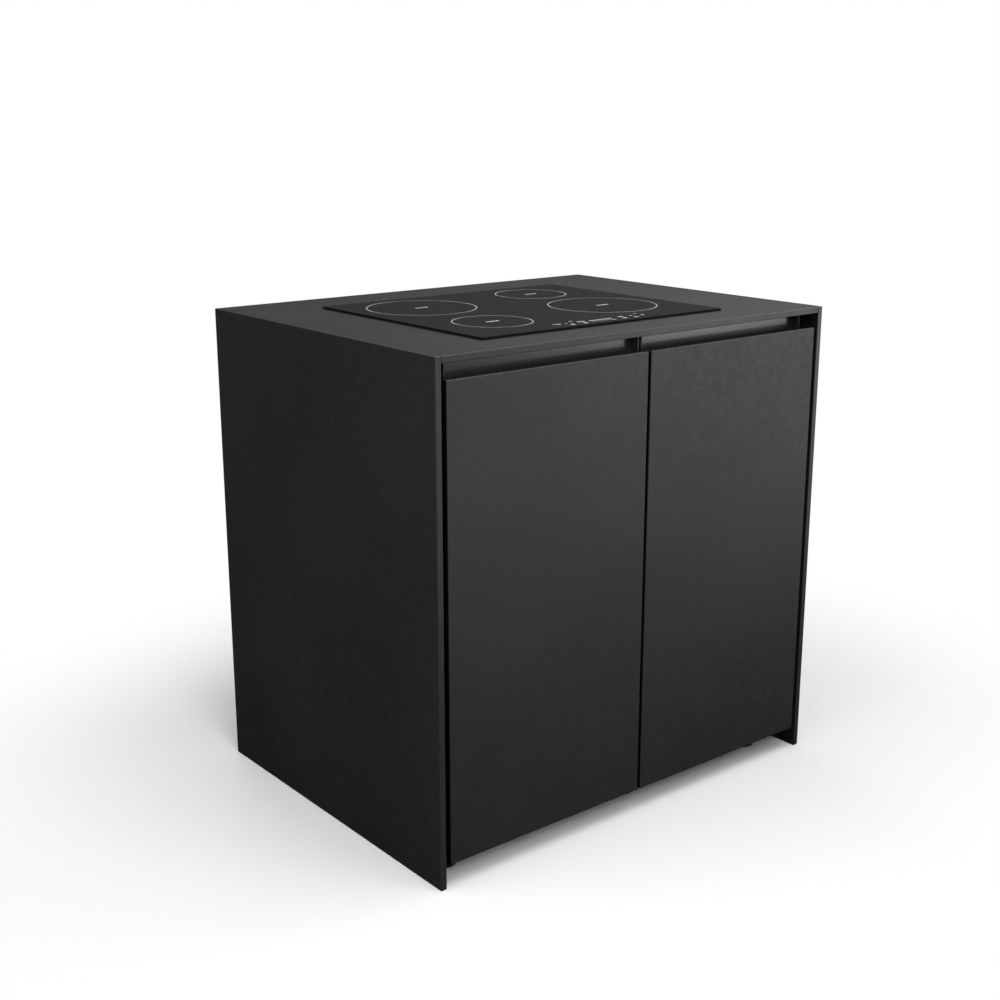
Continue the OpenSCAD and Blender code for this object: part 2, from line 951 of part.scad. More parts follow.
// Terminal box on the back of the case
module terminal_box() {
    y0 = glass_cy + case_d / 2;
    color("#e4e4e2")
        difference() {
            translate([gland_x - box_w / 2, y0, box_z])
                cube([box_w, box_d, box_h]);
            translate([gland_x - box_w / 2 + box_wall, y0 - 1, box_z + box_wall])
                cube([box_w - 2 * box_wall, box_d + 1 - box_wall, box_h - 2 * box_wall]);
            translate([gland_x, y0 + box_d + 1, gland_z])
                against_y()
                    cylinder(r = gland_r + gland_play, h = box_wall + 2);
        }
}

// Gland through which the supply lead enters the terminal box
module cable_gland() {
    y0 = glass_cy + case_d / 2 + box_d;
    color("#1c1c1d")
        translate([gland_x, y0, gland_z])
            along_y()
                difference() {
                    union() {
                        translate([0, 0, -gland_in]) cylinder(r = gland_r, h = gland_in + 1);
                        cylinder(d = gland_hex, h = gland_nut, $fn = 6);
                        translate([0, 0, gland_nut - eps])
                            cylinder(r1 = gland_r + 2, r2 = gland_r, h = gland_dome);
                    }
                    translate([0, 0, -gland_in - 1])
                        cylinder(r = gland_bore_r, h = gland_in + gland_nut + gland_dome + 2);
                }
}

// Places a child at the four clamps on the case's sides, pointing outwards along +X
module at_clamps() {
    for (sx = [0, 1], y = [-clamp_y, clamp_y])
        translate([glass_cx, glass_cy + y, 0])
            mirror([sx, 0, 0])
                translate([case_w / 2, 0, 0])
                    children();
}

// Clamps that pull the hob down onto the worktop from below
module hob_clamps() {
    color("silver")
        at_clamps()
            difference() {
                union() {
                    translate([0, -clamp_w / 2, top_under - clamp_t - clamp_drop])
                        cube([clamp_t, clamp_w, clamp_drop + clamp_t]);
                    translate([0, -clamp_w / 2, top_under - clamp_t])
                        cube([clamp_reach, clamp_w, clamp_t]);
                }
                translate([-1, 0, top_under - clamp_screw_z])
                    along_x() cylinder(r = screw_r + screw_play, h = clamp_t + 2);
            }
}

module clamp_screws() {
    color("lightgrey")
        at_clamps()
            translate([clamp_t, 0, top_under - clamp_screw_z])
                along_x() screw(clamp_t);
}

// Places the screws of the grip profile, heads towards +Y
module at_door_screws() {
    pitch = (door_x1 - grip_x0 - 2 * grip_screw_end) / (grip_screws - 1);
    for (i = [0 : grip_screws - 1])
        translate([grip_x0 + grip_screw_end + i * pitch, door_t + grip_wall, grip_screw_z])
            along_y() children();
}

// Places the screws of the hinge halves on the door, heads towards +Y
module at_cup_screws() {
    for (z = hinge_zs, dz = [-cup_screw_z, cup_screw_z])
        translate([cup_x, door_t + cup_flange_t, z + dz])
            along_y() children();
}

// Left door's sheet with the recesses for the hinge bosses; the right door is its mirror image
module door_panel() {
    from_front_left()
        difference() {
            translate([door_x0, 0, door_bottom])
                board([door_w, door_t, door_h]);
            for (z = hinge_zs)
                translate([cup_x, door_t + 1, z])
                    against_y()
                        cylinder(d = cup_d + 0.2, h = cup_depth + 1.1);
            at_door_screws()
                translate([0, 0, -grip_wall - door_screw_depth])
                    cylinder(r = screw_r + screw_play, h = door_screw_depth + grip_wall);
            at_cup_screws()
                translate([0, 0, -cup_flange_t - door_screw_depth])
                    cylinder(r = screw_r + screw_play, h = door_screw_depth + cup_flange_t);
        }
}

// Section of the grip profile: u is the depth from the door's face, v the height
module grip_section() {
    u_c = grip_web - grip_r;
    difference() {
        union() {
            // Flange on the door
            translate([door_t, grip_foot_z]) square([grip_wall, grip_foot_h]);
            // Floor of the hollow
            translate([door_t, grip_bend_z - grip_r - grip_wall])
                square([u_c - door_t, grip_wall]);
            // Bend up to the web
            intersection() {
                translate([u_c, grip_bend_z]) circle(r = grip_r + grip_wall, $fn = 96);
                translate([u_c, grip_bend_z - grip_r - grip_wall])
                    square(grip_r + grip_wall);
            }
            // Web and its top bead
            translate([grip_web, grip_bend_z]) square([grip_wall, grip_top - grip_bend_z]);
            translate([grip_web - grip_bead, grip_top - grip_bead]) square([grip_bead, grip_bead]);
        }
        translate([u_c, grip_bend_z]) circle(r = grip_r, $fn = 96);
    }
}

module grip_profile() {
    from_front_left()
        difference() {
            translate([grip_x0 + grip_cap_t, 0, 0])
                rotate([90, 0, 90])
                    linear_extrude(door_x1 - grip_x0 - 2 * grip_cap_t)
                        grip_section();
            at_door_screws()
                translate([0, 0, -grip_wall - 1])
                    cylinder(r = screw_r + screw_play, h = grip_wall + 2);
        }
}

// Caps that close both ends of the grip profile
module grip_caps() {
    from_front_left()
        for (x = [grip_x0, door_x1 - grip_cap_t])
            translate([x, 0, 0])
                rotate([90, 0, 90])
                    linear_extrude(grip_cap_t) {
                        translate([door_t, grip_foot_z])
                            square([grip_web + grip_wall - door_t, grip_cap_foot]);
                        translate([grip_cap_front, grip_foot_z])
                            square([grip_web + grip_wall - grip_cap_front, grip_top - grip_foot_z]);
                    }
}

// Hinge halves on the door: boss, flange and two ears round the pin
module hinge_cups() {
    from_front_left()
        for (z = hinge_zs)
            translate([0, 0, z])
                difference() {
                    union() {
                        translate([cup_x, door_t, 0])
                            against_y()
                                cylinder(d = cup_d, h = cup_depth);
                        translate([cup_x + 2, door_t + cup_flange_t, 0])
                            against_y()
                                linear_extrude(cup_flange_t)
                                    round_rect(cup_flange_w, cup_flange_h, 6);
                        for (m = [0, 1])
                            mirror([0, 0, m])
                                translate([hinge_x, hinge_y, arm_h / 2 + ear_gap]) {
                                    cylinder(r = hinge_eye_r, h = ear_t);
                                    translate([-hinge_eye_r, -hinge_off, 0])
                                        cube([2 * hinge_eye_r, hinge_off, ear_t]);
                                }
                    }
                    translate([hinge_x, hinge_y, -arm_h])
                        cylinder(r = hinge_pin_r + hinge_play, h = 2 * arm_h);
                    for (dz = [-cup_screw_z, cup_screw_z])
                        translate([cup_x, door_t - 1, dz])
                            along_y() cylinder(r = screw_r + screw_play, h = 4);
                }
}

module door_screws() {
    from_front_left() {
        at_door_screws()
            screw(grip_wall + door_screw_depth - 0.5);
        at_cup_screws()
            screw(cup_flange_t + door_screw_depth - 0.5);
    }
}

// Plate on the door that the magnet holds
module strike_plate() {
    from_front_left()
        translate([catch_x0 + catch_w / 2, door_t + strike_t, guard_under - catch_h / 2])
            against_y()
                linear_extrude(strike_t)
                    round_rect(strike_w, strike_h, 3);
}

// Buffers on the door that meet the bottom board and the guard panel
module door_buffers() {
    from_front_left()
        for (z = [bottom_gap + board_t / 2, guard_under + guard_t / 2])
            translate([door_x1 - buffer_inset, door_t, z])
                along_y()
                    cylinder(r = buffer_r - 0.2, h = board_front - door_t - buffer_gap);
}

module door_left_panel() { color("#45494e") door_panel(); }
module grip_profile_left() { color("#4a4b4d") grip_profile(); }
module grip_caps_left() { color("#4a4b4d") grip_caps(); }
module hinge_cups_left() { color("#2b2c2e") hinge_cups(); }
module door_screws_left() { color("lightgrey") door_screws(); }
module strike_plate_left() { color("lightgrey") strike_plate(); }
module door_buffers_left() { color("#d8d8d4") door_buffers(); }

module door_right_panel() { color("#45494e") on_right() door_panel(); }
module grip_profile_right() { color("#4a4b4d") on_right() grip_profile(); }
module grip_caps_right() { color("#4a4b4d") on_right() grip_caps(); }
module hinge_cups_right() { color("#2b2c2e") on_right() hinge_cups(); }
module door_screws_right() { color("lightgrey") on_right() door_screws(); }
module strike_plate_right() { color("lightgrey") on_right() strike_plate(); }
module door_buffers_right() { color("#d8d8d4") on_right() door_buffers(); }

side_panel_left();
side_panel_right();
worktop();
bottom_board();
back_panel();
centre_divider();
guard_panel();
guard_cleats();
shelf_left();
shelf_right();
shelf_pins();
worktop_rails();
corner_brackets();
bracket_screws();
foot_sockets();
hinge_plates();
hinge_arms();
hinge_pins();
hinge_screws();
door_catches();
hob_glass();
glass_seal();
hob_case();
coil_rear_left();
coil_front_left();
coil_rear_right();
coil_front_right();
coil_plate();
power_board();
heat_sink();
touch_board();
fan_housing();
terminal_box();
cable_gland();
hob_clamps();
clamp_screws();
fan_rotor();
door_left_panel();
grip_profile_left();
grip_caps_left();
hinge_cups_left();
door_screws_left();
strike_plate_left();
door_buffers_left();
door_right_panel();
grip_profile_right();
grip_caps_right();
hinge_cups_right();
door_screws_right();
strike_plate_right();
door_buffers_right();
foot_front_left();
foot_front_right();
foot_back_left();
foot_back_right();
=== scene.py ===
# %% [markdown]
# # A low kitchen unit with a built-in hob
#
# The unit is a box of thin dark laminate boards. Two doors hang in front, with a finger gap above
# them, and a black glass hob lies in the worktop.
#
# The solids come from the construction model, in metres, with the floor at height 0 and the doors
# facing -Y. This lesson gives each of them its finish, prints the hob's glass, and then sets up
# the floor, the light and the camera.

import math

import bmesh
import bpy
from mathutils import Matrix, Vector


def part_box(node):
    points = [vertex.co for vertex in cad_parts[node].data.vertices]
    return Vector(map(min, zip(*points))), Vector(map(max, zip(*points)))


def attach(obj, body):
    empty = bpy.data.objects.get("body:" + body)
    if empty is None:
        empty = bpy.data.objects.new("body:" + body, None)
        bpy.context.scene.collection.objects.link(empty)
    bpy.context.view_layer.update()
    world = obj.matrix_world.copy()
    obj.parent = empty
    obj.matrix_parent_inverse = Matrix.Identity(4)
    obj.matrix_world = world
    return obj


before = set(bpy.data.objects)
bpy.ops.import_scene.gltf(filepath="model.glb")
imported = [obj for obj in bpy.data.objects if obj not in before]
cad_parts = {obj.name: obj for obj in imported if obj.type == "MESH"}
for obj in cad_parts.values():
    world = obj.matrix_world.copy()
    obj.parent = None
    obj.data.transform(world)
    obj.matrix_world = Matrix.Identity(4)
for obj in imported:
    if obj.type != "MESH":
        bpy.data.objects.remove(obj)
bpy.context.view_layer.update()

# %% [markdown]
# ## The camera
#
# A camera is a place, a direction and a lens. The photograph's own straight edges give all three:
# edges that are parallel on the unit run towards common points in the picture. The camera stands
# at the unit's left front corner, a little above the worktop, and looks 15 degrees down.
#
# The small shifts say that the lens axis doesn't meet the picture in its exact middle.

# %% Place the camera
picture_px = 1000
lens_px = 1425.4
turn_deg, down_deg, roll_deg = 39.14, 15.01, 0.056


def in_scene(name, data):
    thing = bpy.data.objects.new(name, data)
    bpy.context.scene.collection.objects.link(thing)
    return thing


camera_data = bpy.data.cameras.new("camera")
camera_data.sensor_width = 36.0
camera_data.lens = camera_data.sensor_width * lens_px / picture_px
camera_data.shift_x = -0.0064
camera_data.shift_y = -0.0087
camera_data.clip_end = 200.0
camera = in_scene("camera", camera_data)
camera.location = (-1.7292, -2.0821, 1.2738)
camera.matrix_world = (
    Matrix.Translation(camera.location)
    @ Matrix.Rotation(math.radians(-turn_deg), 4, "Z")
    @ Matrix.Rotation(math.radians(90 - down_deg), 4, "X")
    @ Matrix.Rotation(math.radians(roll_deg), 4, "Z")
)
bpy.context.scene.camera = camera
print("lens", round(camera_data.lens, 2), "mm")

# %% [markdown]
# ## Building blocks for finishes
#
# Every finish here starts from the Principled shader, which behaves like most real surfaces. A
# plain colour looks like plastic in a computer, so each finish adds what the eye expects: a soft
# cloud of slightly different shades, a fine grain, and tiny bumps that break up the gloss.
#
# These small helpers keep the recipes short. All patterns read Object coordinates, so they stick
# to the piece, and a pattern's scale is its number of features per metre. A noise lies mostly
# between 0.3 and 0.7, so vary() gives these two values the darkest and the lightest shade.

# %% Helpers for materials
def new_finish(name, colour, roughness, metallic=0.0, specular=0.5):
    material = bpy.data.materials.new(name)
    material.use_nodes = True
    tree = material.node_tree
    shader = tree.nodes["Principled BSDF"]
    shader.inputs["Base Color"].default_value = (*colour, 1.0)
    shader.inputs["Roughness"].default_value = roughness
    shader.inputs["Metallic"].default_value = metallic
    shader.inputs["Specular IOR Level"].default_value = specular
    material.diffuse_color = (*colour, 1.0)
    return material, tree, shader


def place_on_object(tree, scale=(1, 1, 1), location=(0, 0, 0), rotation=(0, 0, 0)):
    coordinates = tree.nodes.new("ShaderNodeTexCoord")
    mapping = tree.nodes.new("ShaderNodeMapping")
    mapping.inputs["Scale"].default_value = scale
    mapping.inputs["Location"].default_value = location
    mapping.inputs["Rotation"].default_value = rotation
    tree.links.new(coordinates.outputs["Object"], mapping.inputs["Vector"])
    return mapping.outputs["Vector"]


def noise(tree, vector, per_metre, detail=2.0):
    node = tree.nodes.new("ShaderNodeTexNoise")
    node.inputs["Scale"].default_value = per_metre
    node.inputs["Detail"].default_value = detail
    tree.links.new(vector, node.inputs["Vector"])
    return node.outputs[0]


def shades(tree, value, stops):
    node = tree.nodes.new("ShaderNodeValToRGB")
    ramp = node.color_ramp
    while len(ramp.elements) < len(stops):
        ramp.elements.new(0.5)
    for element, (place, colour) in zip(ramp.elements, stops):
        element.position = place
        plain = not hasattr(colour, "__len__")
        element.color = (colour, colour, colour, 1.0) if plain else (*colour, 1.0)
    tree.links.new(value, node.inputs["Fac"])
    return node.outputs["Color"]


def tint(colour, factor):
    return [factor * c for c in colour]


def vary(tree, value, socket, low, high, between=(0.3, 0.7)):
    tree.links.new(shades(tree, value, list(zip(between, (low, high)))), socket)


def multiply(tree, a, b):
    node = tree.nodes.new("ShaderNodeMix")
    node.data_type = "RGBA"
    node.blend_type = "MULTIPLY"
    node.inputs[0].default_value = 1.0
    tree.links.new(a, node.inputs[6])
    tree.links.new(b, node.inputs[7])
    return node.outputs[2]


def beyond(tree, axis, test, limit):
    split = tree.nodes.new("ShaderNodeSeparateXYZ")
    tree.links.new(place_on_object(tree), split.inputs[0])
    value = split.outputs["XYZ".index(axis[0])]
    if axis.endswith("both"):
        either = tree.nodes.new("ShaderNodeMath")
        either.operation = "ABSOLUTE"
        tree.links.new(value, either.inputs[0])
        value = either.outputs[0]
    there = tree.nodes.new("ShaderNodeMath")
    there.operation = test
    tree.links.new(value, there.inputs[0])
    there.inputs[1].default_value = limit
    return there.outputs[0]


def rescale(tree, colour, there, factor):
    node = tree.nodes.new("ShaderNodeMix")
    node.data_type = "RGBA"
    node.blend_type = "MULTIPLY"
    node.inputs[7].default_value = (factor, factor, factor, 1.0)
    tree.links.new(there, node.inputs[0])
    tree.links.new(colour, node.inputs[6])
    return node.outputs[2]


def add_bumps(tree, shader, heights, strength, distance):
    node = tree.nodes.new("ShaderNodeBump")
    node.inputs["Strength"].default_value = strength
    node.inputs["Distance"].default_value = distance
    tree.links.new(heights, node.inputs["Height"])
    tree.links.new(node.outputs["Normal"], shader.inputs["Normal"])


def dress(material, *names):
    for name in names:
        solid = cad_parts[name]
        solid.data.materials.clear()
        solid.data.materials.append(material)
    dressed.update(names)


dressed = set()
print("helpers ready")

# %% [markdown]
# ## The laminate boards
#
# Compact laminate is paper soaked in resin and pressed hot. It is dark right through, so a board
# needs no edge strip, and a cut edge shows the stacked sheets as very fine lines. Its face is matt,
# with a fine mineral grain.
#
# The lines come from a noise that is squeezed hard along the board's thickness. On the face that
# direction doesn't change, so the face stays even, and only the edges show the sheets. The same
# recipe serves the worktop, the upright sides and the doors: only the direction differs.
#
# Some faces of a board get a factor for a painted shade. Each entry of cuts is a part of the board
# beyond
# a plane: an axis, a test, the plane's place, a factor for the painted shade and one for the
# roughness.
# The sides' upper faces are as pale as the worktop. The front edges are polished; the sides' ones
# are painted paler, a painted highlight, and the worktop's a little darker, a painted shade. The
# sides' inner faces are painted dark and the doors' upright edges near black: painted shade inside
# the unit and in the gaps beside and between the doors. Each plane lies a skin's depth under the
# face that it is for.

# %% Compact laminate
def compact_laminate(name, across, colour, roughness=0.55, specular=0.5, contrast=1.0, cuts=()):
    material, tree, shader = new_finish(name, colour, roughness, specular=specular)
    lines_scale = [3.0, 3.0, 3.0]
    lines_scale["XYZ".index(across)] = 1500.0
    cloud = shades(tree, noise(tree, place_on_object(tree), 5.0, 3.0),
                   [(0.3, tint(colour, 0.95)), (0.7, tint(colour, 1.05))])
    low, high = 1.0 - 0.12 * contrast, 1.0 + 0.10 * contrast
    grain_height = noise(tree, place_on_object(tree), 620.0, 3.0)
    grain = shades(tree, grain_height, [(0.32, low), (0.68, high)])
    sheets = shades(tree, noise(tree, place_on_object(tree, scale=lines_scale), 1.0, 1.0),
                    [(0.35, 0.86), (0.65, 1.12)])
    coloured = multiply(tree, multiply(tree, cloud, grain), sheets)
    gloss = shades(tree, noise(tree, place_on_object(tree, location=(3, 1, 2)), 90.0, 2.0),
                   [(0.3, roughness - 0.04), (0.7, roughness + 0.05)])
    for axis, test, limit, shade, roughened in cuts:
        there = beyond(tree, axis, test, limit)
        coloured = rescale(tree, coloured, there, shade)
        gloss = rescale(tree, gloss, there, roughened)
    tree.links.new(coloured, shader.inputs["Base Color"])
    tree.links.new(gloss, shader.inputs["Roughness"])
    add_bumps(tree, shader, grain_height, 0.25, 0.0001)
    return material


print("laminate ready")

# %% Boards outside
skin = 0.0005
door_skin = 0.0006
side_low, side_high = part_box("side_panel_right")
door_low, door_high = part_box("door_right_panel")
front = side_low[1] + skin
side_top = side_high[2] - skin
side_inner = side_low[0] + skin
door_edges = door_low[0] + door_skin, door_high[0] - door_skin
print("cuts at", [round(1000 * v, 1) for v in (front, side_top, side_inner, *door_edges)], "mm")

# The worktop's front edge is polished and painted a little darker, a painted shade that tones down
# its highlight.
worktop_finish = compact_laminate(
    "laminate_worktop", "Z", (0.0290, 0.0290, 0.0286), specular=0.72,
    cuts=[("Y", "LESS_THAN", front, 0.8, 0.7)])
# The sides' front edges are painted paler, a painted highlight, as well as polished; their inner
# faces are painted dark, a painted shade.
side_finish = compact_laminate(
    "laminate_side", "X", (0.0174, 0.0174, 0.0177), specular=0.8, contrast=0.8,
    cuts=[("Z", "GREATER_THAN", side_top, 1.66, 1.0),
          ("Y", "LESS_THAN", front, 1.4, 0.65),
          ("X both", "LESS_THAN", side_inner, 0.3, 1.0)])
# The doors' upright edges are painted near black: painted shade in the gaps beside and between the
# doors.
door_finish = compact_laminate(
    "laminate_door", "Y", (0.0176, 0.0179, 0.0191), roughness=0.48, specular=0.87, contrast=0.7,
    cuts=[("X both", "LESS_THAN", door_edges[0], 0.1, 1.0),
          ("X both", "GREATER_THAN", door_edges[1], 0.1, 1.0)])
dress(worktop_finish, "worktop")
dress(side_finish, "side_panel_left", "side_panel_right")
dress(door_finish, "door_left_panel", "door_right_panel")

# %% Boards inside
inside_grey = (0.020, 0.020, 0.0205)
dress(compact_laminate("laminate_inside", "Y", inside_grey, specular=0.6), "back_panel")
# The centre divider is painted darker than the other inside boards: painted shade for the gap
# between the doors.
dress(compact_laminate("laminate_inside_upright", "X", (0.010, 0.010, 0.0103), specular=0.6),
      "centre_divider")
dress(compact_laminate("laminate_inside_flat", "Z", inside_grey, specular=0.6),
      "bottom_board", "guard_panel", "shelf_left", "shelf_right")
print("boards dressed:", len(dressed))

# %% [markdown]
# ## The grip profiles
#
# Behind each door's top edge runs a curved aluminium profile for the fingers. It is anodised dark
# grey: mostly a metal that mirrors the room in a soft blur, under a thin oxide skin that scatters a
# little light by itself. Its upper part catches the bright floor far in front, and the lower part
# of the curve mirrors the dark underside of the worktop. Small caps of the same metal, a little
# duller, close its ends.
#
# A profile is pressed through a die, which leaves very fine lines along its length. A noise that is
# stretched along X gives them, as a slight change of shade and gloss.

# %% Anodised aluminium
grip_grey = (0.110, 0.110, 0.108)


def anodised(name, colour, roughness):
    material, tree, shader = new_finish(name, colour, roughness, metallic=0.85)
    lines = noise(tree, place_on_object(tree, scale=(5, 1100, 1100)), 1.0, 2.0)
    vary(tree, lines, shader.inputs["Base Color"], tint(colour, 0.98), tint(colour, 1.02))
    vary(tree, lines, shader.inputs["Roughness"], roughness - 0.015, roughness + 0.015)
    add_bumps(tree, shader, noise(tree, place_on_object(tree), 1300.0, 2.0), 0.08, 0.0001)
    return material


dress(anodised("grip_anodised", grip_grey, 0.32), "grip_profile_left", "grip_profile_right")
dress(anodised("grip_cap_anodised", grip_grey, 0.50), "grip_caps_left", "grip_caps_right")
print("grips dressed")

# %% [markdown]
# ## The hinges
#
# The hinges sit in the dark gap beside each door and don't show, because they are lacquered black.
# The lacquer is smooth, with a faint ripple that breaks its highlights.

# %% Black lacquer
def black_lacquer(name, colour, roughness):
    material, tree, shader = new_finish(name, colour, roughness)
    ripple = noise(tree, place_on_object(tree), 420.0, 2.0)
    vary(tree, noise(tree, place_on_object(tree), 30.0, 2.0), shader.inputs["Base Color"],
         tint(colour, 0.90), tint(colour, 1.10))
    vary(tree, ripple, shader.inputs["Roughness"], roughness - 0.05, roughness + 0.05)
    add_bumps(tree, shader, ripple, 0.15, 0.0002)
    return material


dress(black_lacquer("hinge_lacquer", (0.018, 0.018, 0.019), 0.40),
      "hinge_plates", "hinge_arms", "hinge_cups_left", "hinge_cups_right")
print("hinges dressed")

# %% [markdown]
# ## Steel, zinc and aluminium
#
# The fittings inside are metal. Zinc plating is a cool grey with a faint crystal pattern and a soft
# shine. The screws and pins are nickel, smoother and brighter. Drawn aluminium has fine lines along
# its length, which a stretched noise gives.

# %% Zinc-plated steel
def zinc_plate(name, colour, roughness):
    material, tree, shader = new_finish(name, colour, roughness, metallic=1.0)
    crystal = tree.nodes.new("ShaderNodeTexVoronoi")
    crystal.inputs["Scale"].default_value = 260.0
    tree.links.new(place_on_object(tree), crystal.inputs["Vector"])
    vary(tree, crystal.outputs["Color"], shader.inputs["Base Color"],
         tint(colour, 0.86), colour, between=(0.2, 0.8))
    vary(tree, noise(tree, place_on_object(tree), 130.0, 3.0), shader.inputs["Roughness"],
         roughness - 0.08, roughness + 0.10)
    add_bumps(tree, shader, noise(tree, place_on_object(tree), 900.0, 2.0), 0.12, 0.0001)
    return material


dress(zinc_plate("zinc_plated_steel", (0.60, 0.61, 0.62), 0.34),
      "guard_cleats", "worktop_rails", "corner_brackets", "hob_case", "hob_clamps",
      "strike_plate_left", "strike_plate_right")
print("zinc dressed")

# %% Nickel screws and drawn aluminium
def nickel(name, colour, roughness):
    material, tree, shader = new_finish(name, colour, roughness, metallic=1.0)
    turned = noise(tree, place_on_object(tree, scale=(1, 1, 6)), 700.0, 2.0)
    vary(tree, turned, shader.inputs["Roughness"], roughness - 0.05, roughness + 0.08)
    vary(tree, noise(tree, place_on_object(tree), 60.0, 2.0), shader.inputs["Base Color"],
         tint(colour, 0.90), colour)
    return material


def drawn_aluminium(name, colour, roughness, along):
    material, tree, shader = new_finish(name, colour, roughness, metallic=1.0)
    scale = [900.0, 900.0, 900.0]
    scale["XYZ".index(along)] = 6.0
    lines = noise(tree, place_on_object(tree, scale=scale), 1.0, 2.0)
    vary(tree, lines, shader.inputs["Base Color"], tint(colour, 0.88), colour)
    vary(tree, lines, shader.inputs["Roughness"], roughness, roughness + 0.15)
    add_bumps(tree, shader, lines, 0.10, 0.0001)
    return material


dress(nickel("nickel_plate", (0.68, 0.67, 0.65), 0.22),
      "shelf_pins", "bracket_screws", "hinge_pins", "hinge_screws", "clamp_screws",
      "door_screws_left", "door_screws_right")
dress(drawn_aluminium("mill_aluminium", (0.78, 0.78, 0.79), 0.30, "Y"), "coil_plate", "heat_sink")
print("metals dressed")

# %% [markdown]
# ## The hob's inner parts
#
# Under the glass lie copper coils, green boards and moulded plastic. They can't be seen in the
# picture, but the part may be opened or cut, so they get honest finishes too. The coils' solids
# have the ridges of the turns, and a fine noise adds the strands of the wire.

# %% Copper, boards and plastics
def copper_winding(name, colour):
    material, tree, shader = new_finish(name, colour, 0.35, metallic=1.0)
    strands = noise(tree, place_on_object(tree, scale=(1, 1, 4)), 480.0, 3.0)
    vary(tree, strands, shader.inputs["Base Color"], tint(colour, 0.60), colour)
    vary(tree, strands, shader.inputs["Roughness"], 0.45, 0.28)
    add_bumps(tree, shader, strands, 0.35, 0.0003)
    return material


def circuit_board(name, colour):
    material, tree, shader = new_finish(name, colour, 0.30)
    tracks = tree.nodes.new("ShaderNodeTexVoronoi")
    tracks.distance = "MANHATTAN"
    tracks.feature = "DISTANCE_TO_EDGE"
    tracks.inputs["Scale"].default_value = 160.0
    tree.links.new(place_on_object(tree), tracks.inputs["Vector"])
    vary(tree, tracks.outputs["Distance"], shader.inputs["Base Color"],
         tint(colour, 1.9), colour, between=(0.05, 0.12))
    add_bumps(tree, shader, tracks.outputs["Distance"], 0.2, 0.0001)
    return material


def moulded(name, colour, roughness, grain_per_metre=1400.0):
    material, tree, shader = new_finish(name, colour, roughness)
    grain = noise(tree, place_on_object(tree), grain_per_metre, 2.0)
    vary(tree, noise(tree, place_on_object(tree), 25.0, 2.0), shader.inputs["Base Color"],
         tint(colour, 0.88), tint(colour, 1.10))
    vary(tree, grain, shader.inputs["Roughness"], roughness - 0.06, roughness + 0.06)
    add_bumps(tree, shader, grain, 0.25, 0.0001)
    return material


dress(copper_winding("copper_winding", (0.72, 0.34, 0.17)),
      "coil_rear_left", "coil_front_left", "coil_rear_right", "coil_front_right")
dress(circuit_board("circuit_board", (0.02, 0.12, 0.05)), "power_board", "touch_board")
dress(moulded("black_moulded", (0.014, 0.014, 0.015), 0.45),
      "fan_housing", "fan_rotor", "foot_sockets", "door_catches", "cable_gland")
dress(moulded("foot_moulded", (0.008, 0.008, 0.008), 0.55, 900.0),
      "foot_front_left", "foot_front_right", "foot_back_left", "foot_back_right")
dress(moulded("pale_moulded", (0.72, 0.72, 0.70), 0.42), "terminal_box")
dress(moulded("soft_buffer", (0.62, 0.62, 0.60), 0.35, 500.0),
      "door_buffers_left", "door_buffers_right")
dress(moulded("foam_seal", (0.004, 0.004, 0.004), 0.85, 1100.0), "glass_seal")
print("inner parts dressed:", len(dressed), "of", len(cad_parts))

# %% [markdown]
# ## The hob's glass
#
# Glass ceramic is almost black and quite smooth. It isn't a mirror: heat and cleaning leave a faint
# haze, so the roughness is low but not zero, and it varies slowly over the pane like wiped glass.

# %% Black glass ceramic
def black_glass(name):
    material, tree, shader = new_finish(name, (0.0026, 0.0026, 0.0026), 0.16, specular=0.48)
    vary(tree, noise(tree, place_on_object(tree), 3.0, 3.0), shader.inputs["Base Color"],
         (0.0022, 0.0022, 0.0022), (0.0030, 0.0030, 0.0030))
    wiped = noise(tree, place_on_object(tree, scale=(1, 3, 1), rotation=(0, 0, 0.5)), 12.0, 3.0)
    vary(tree, wiped, shader.inputs["Roughness"], 0.14, 0.22)
    add_bumps(tree, shader, noise(tree, place_on_object(tree), 40.0, 2.0), 0.02, 0.0002)
    return material


dress(black_glass("black_glass_ceramic"), "hob_glass")
missing = sorted(set(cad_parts) - dressed)
print("nodes without a finish:", missing)
assert not missing

# %% [markdown]
# ## The print on the glass
#
# White enamel is printed on the glass: a fine broken ring round each cooking zone, a small bar in
# its middle, and the touch controls along the front edge. It could be painted by the glass's
# material, but thin lines blur there when the material is turned into an image. So each dash is a
# real sliver of enamel, a few hundredths of a millimetre thick.
#
# One dash is made and then spun round the zone's centre, with a copy at each step.

# %% Rings of dashes
glass_low, glass_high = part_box("hob_glass")
glass_middle = (Vector(glass_low) + Vector(glass_high)) / 2
glass_top = glass_high[2]
glass_size = Vector(glass_high) - Vector(glass_low)
print("glass", [round(1000 * v, 1) for v in glass_size], "mm, top at", round(glass_top, 4))

# Each zone's middle, counted from the middle of the glass, and its ring's diameter
zones = {
    "rear_left": (-0.1485, 0.113, 0.206),
    "front_left": (-0.156, -0.109, 0.143),
    "rear_right": (0.142, 0.142, 0.142),
    "front_right": (0.143, -0.069, 0.207),
}
enamel_thick = 0.00004
ring_line = 0.0024
dash_pitch = 0.0056
dash_share = 0.50


def mesh_from(name, work, material):
    mesh = bpy.data.meshes.new(name)
    work.to_mesh(mesh)
    work.free()
    mesh.materials.append(material)
    return mesh


def new_piece(name, mesh_maker, body, material):
    work = bmesh.new()
    mesh_maker(work)
    bmesh.ops.remove_doubles(work, verts=work.verts, dist=1e-7)
    bmesh.ops.recalc_face_normals(work, faces=work.faces)
    mesh = mesh_from(name, work, material)
    piece = in_scene(name, mesh)
    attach(piece, body)
    print(name, len(mesh.polygons), "faces")
    return piece


def enamel_bar(work, x, y, length, width):
    made = bmesh.ops.create_cube(work, size=1.0)["verts"]
    bmesh.ops.scale(work, vec=(length, width, enamel_thick), verts=made)
    bmesh.ops.translate(work, vec=(x, y, glass_top + enamel_thick / 2), verts=made)
    return made


